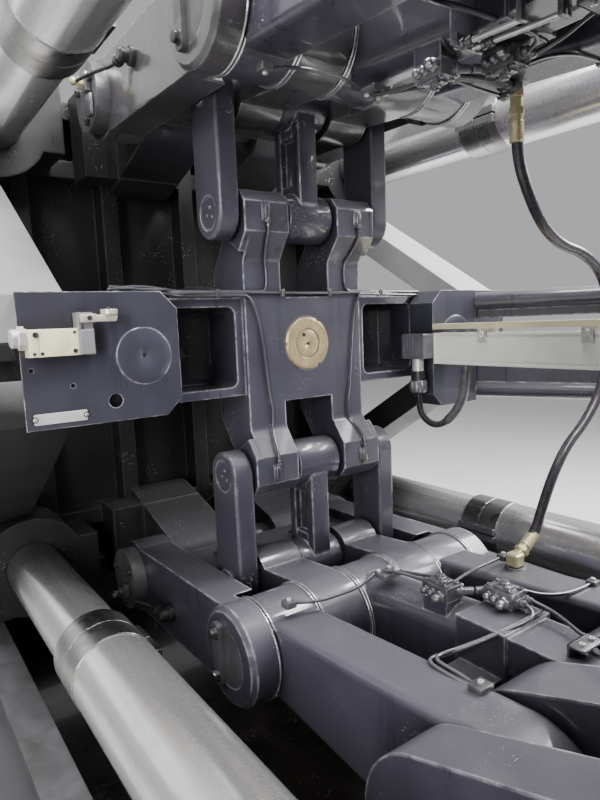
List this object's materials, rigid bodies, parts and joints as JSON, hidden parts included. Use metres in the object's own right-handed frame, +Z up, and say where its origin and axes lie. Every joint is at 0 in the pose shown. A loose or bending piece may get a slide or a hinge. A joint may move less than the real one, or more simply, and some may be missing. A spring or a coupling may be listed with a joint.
{
  "type": "toggle clamping unit of an injection molding machine",
  "caption": "Toggle clamping unit of an injection molding machine: platens on tie bars, link castings, crosshead on guide rods, clamp cylinder and bed.",
  "frame": {"origin": "on the floor, under the middle of the unit", "axes": "+X along the machine from the tail platen to the stationary platen, +Y to the far side, +Z up"},
  "size_m": [3.6, 1.49, 1.8729],
  "materials": {
    "casting_paint": "semi-gloss paint on rough castings, oily",
    "bed_paint": "semi-gloss paint on welded plate",
    "light_paint": "satin light grey paint",
    "oiled_sheet": "oil-stained sheet steel",
    "ground_steel": "ground and oiled",
    "dark_steel": "machined and oiled",
    "bronze": "machined bronze",
    "cylinder_paint": "semi-gloss paint",
    "switch_cream": "satin enamel",
    "cast_alloy": "satin",
    "brass": "machined brass",
    "zinc_steel": "zinc plated",
    "black_plastic": "moulded",
    "black_rubber": "smooth hose"
  },
  "bodies": {
    "bed_and_stationary_platen": {"bed_beam_near": "bed_paint", "bed_beam_far": "bed_paint", "bed_cross_members": "bed_paint", "levelling_feet": "dark_steel", "wear_rails": "dark_steel", "oil_tray": "oiled_sheet", "stationary_platen": "casting_paint", "tie_bar_lower_far": "ground_steel", "tie_bar_lower_near": "ground_steel", "tie_bar_upper_far": "ground_steel", "tie_bar_upper_near": "ground_steel", "tie_bar_collars": "dark_steel", "tie_bar_nuts_front": "dark_steel"},
    "clamp_carriage": {"brace_arms_far": "light_paint", "brace_arms_near": "light_paint", "clamp_cylinder": "cylinder_paint", "crosshead": "casting_paint", "cylinder_cap": "cylinder_paint", "front_link_lower": "casting_paint", "front_link_upper": "casting_paint", "guide_bushes": "bronze", "guide_plate_far": "casting_paint", "guide_plate_near": "casting_paint", "guide_rods": "ground_steel", "hose_fittings": "brass", "knee_pins": "dark_steel", "limit_switch_body": "switch_cream", "limit_switch_head": "cast_alloy", "moving_pins": "dark_steel", "moving_platen": "casting_paint", "oil_distributors": "cast_alloy", "oil_hose": "black_rubber", "pin_keepers": "dark_steel", "piston_nut": "bronze", "piston_rod": "ground_steel", "rear_link_lower": "casting_paint", "rear_link_upper": "casting_paint", "short_link_lower_middle": "casting_paint", "short_link_pins": "dark_steel", "short_link_upper_middle": "casting_paint", "short_links_lower_sides": "casting_paint", "short_links_upper_sides": "casting_paint", "stay_frame": "casting_paint", "tail_pins": "dark_steel", "tail_platen": "casting_paint", "tie_bar_nuts_tail": "dark_steel", "transducer": "cast_alloy", "transducer_clamps": "zinc_steel", "transducer_conduit": "zinc_steel", "transducer_connector": "black_plastic", "transducer_rail": "brass"},
    "switch_lever": {"limit_switch_lever": "zinc_steel"}
  },
  "joints": [
    {"name": "mould_height_slide", "type": "slide", "parent": "bed_and_stationary_platen", "child": "clamp_carriage", "axis": [1, 0, 0], "range_m": [-0.15, 0.2]},
    {"name": "lever_hinge", "type": "hinge", "parent": "clamp_carriage", "child": "switch_lever", "pos_m": [-0.379, -0.474, 1.312], "axis": [1, 0, 0], "range_deg": [-40, 40], "stiffness_Nm_per_rad": 1.5}
  ]
}
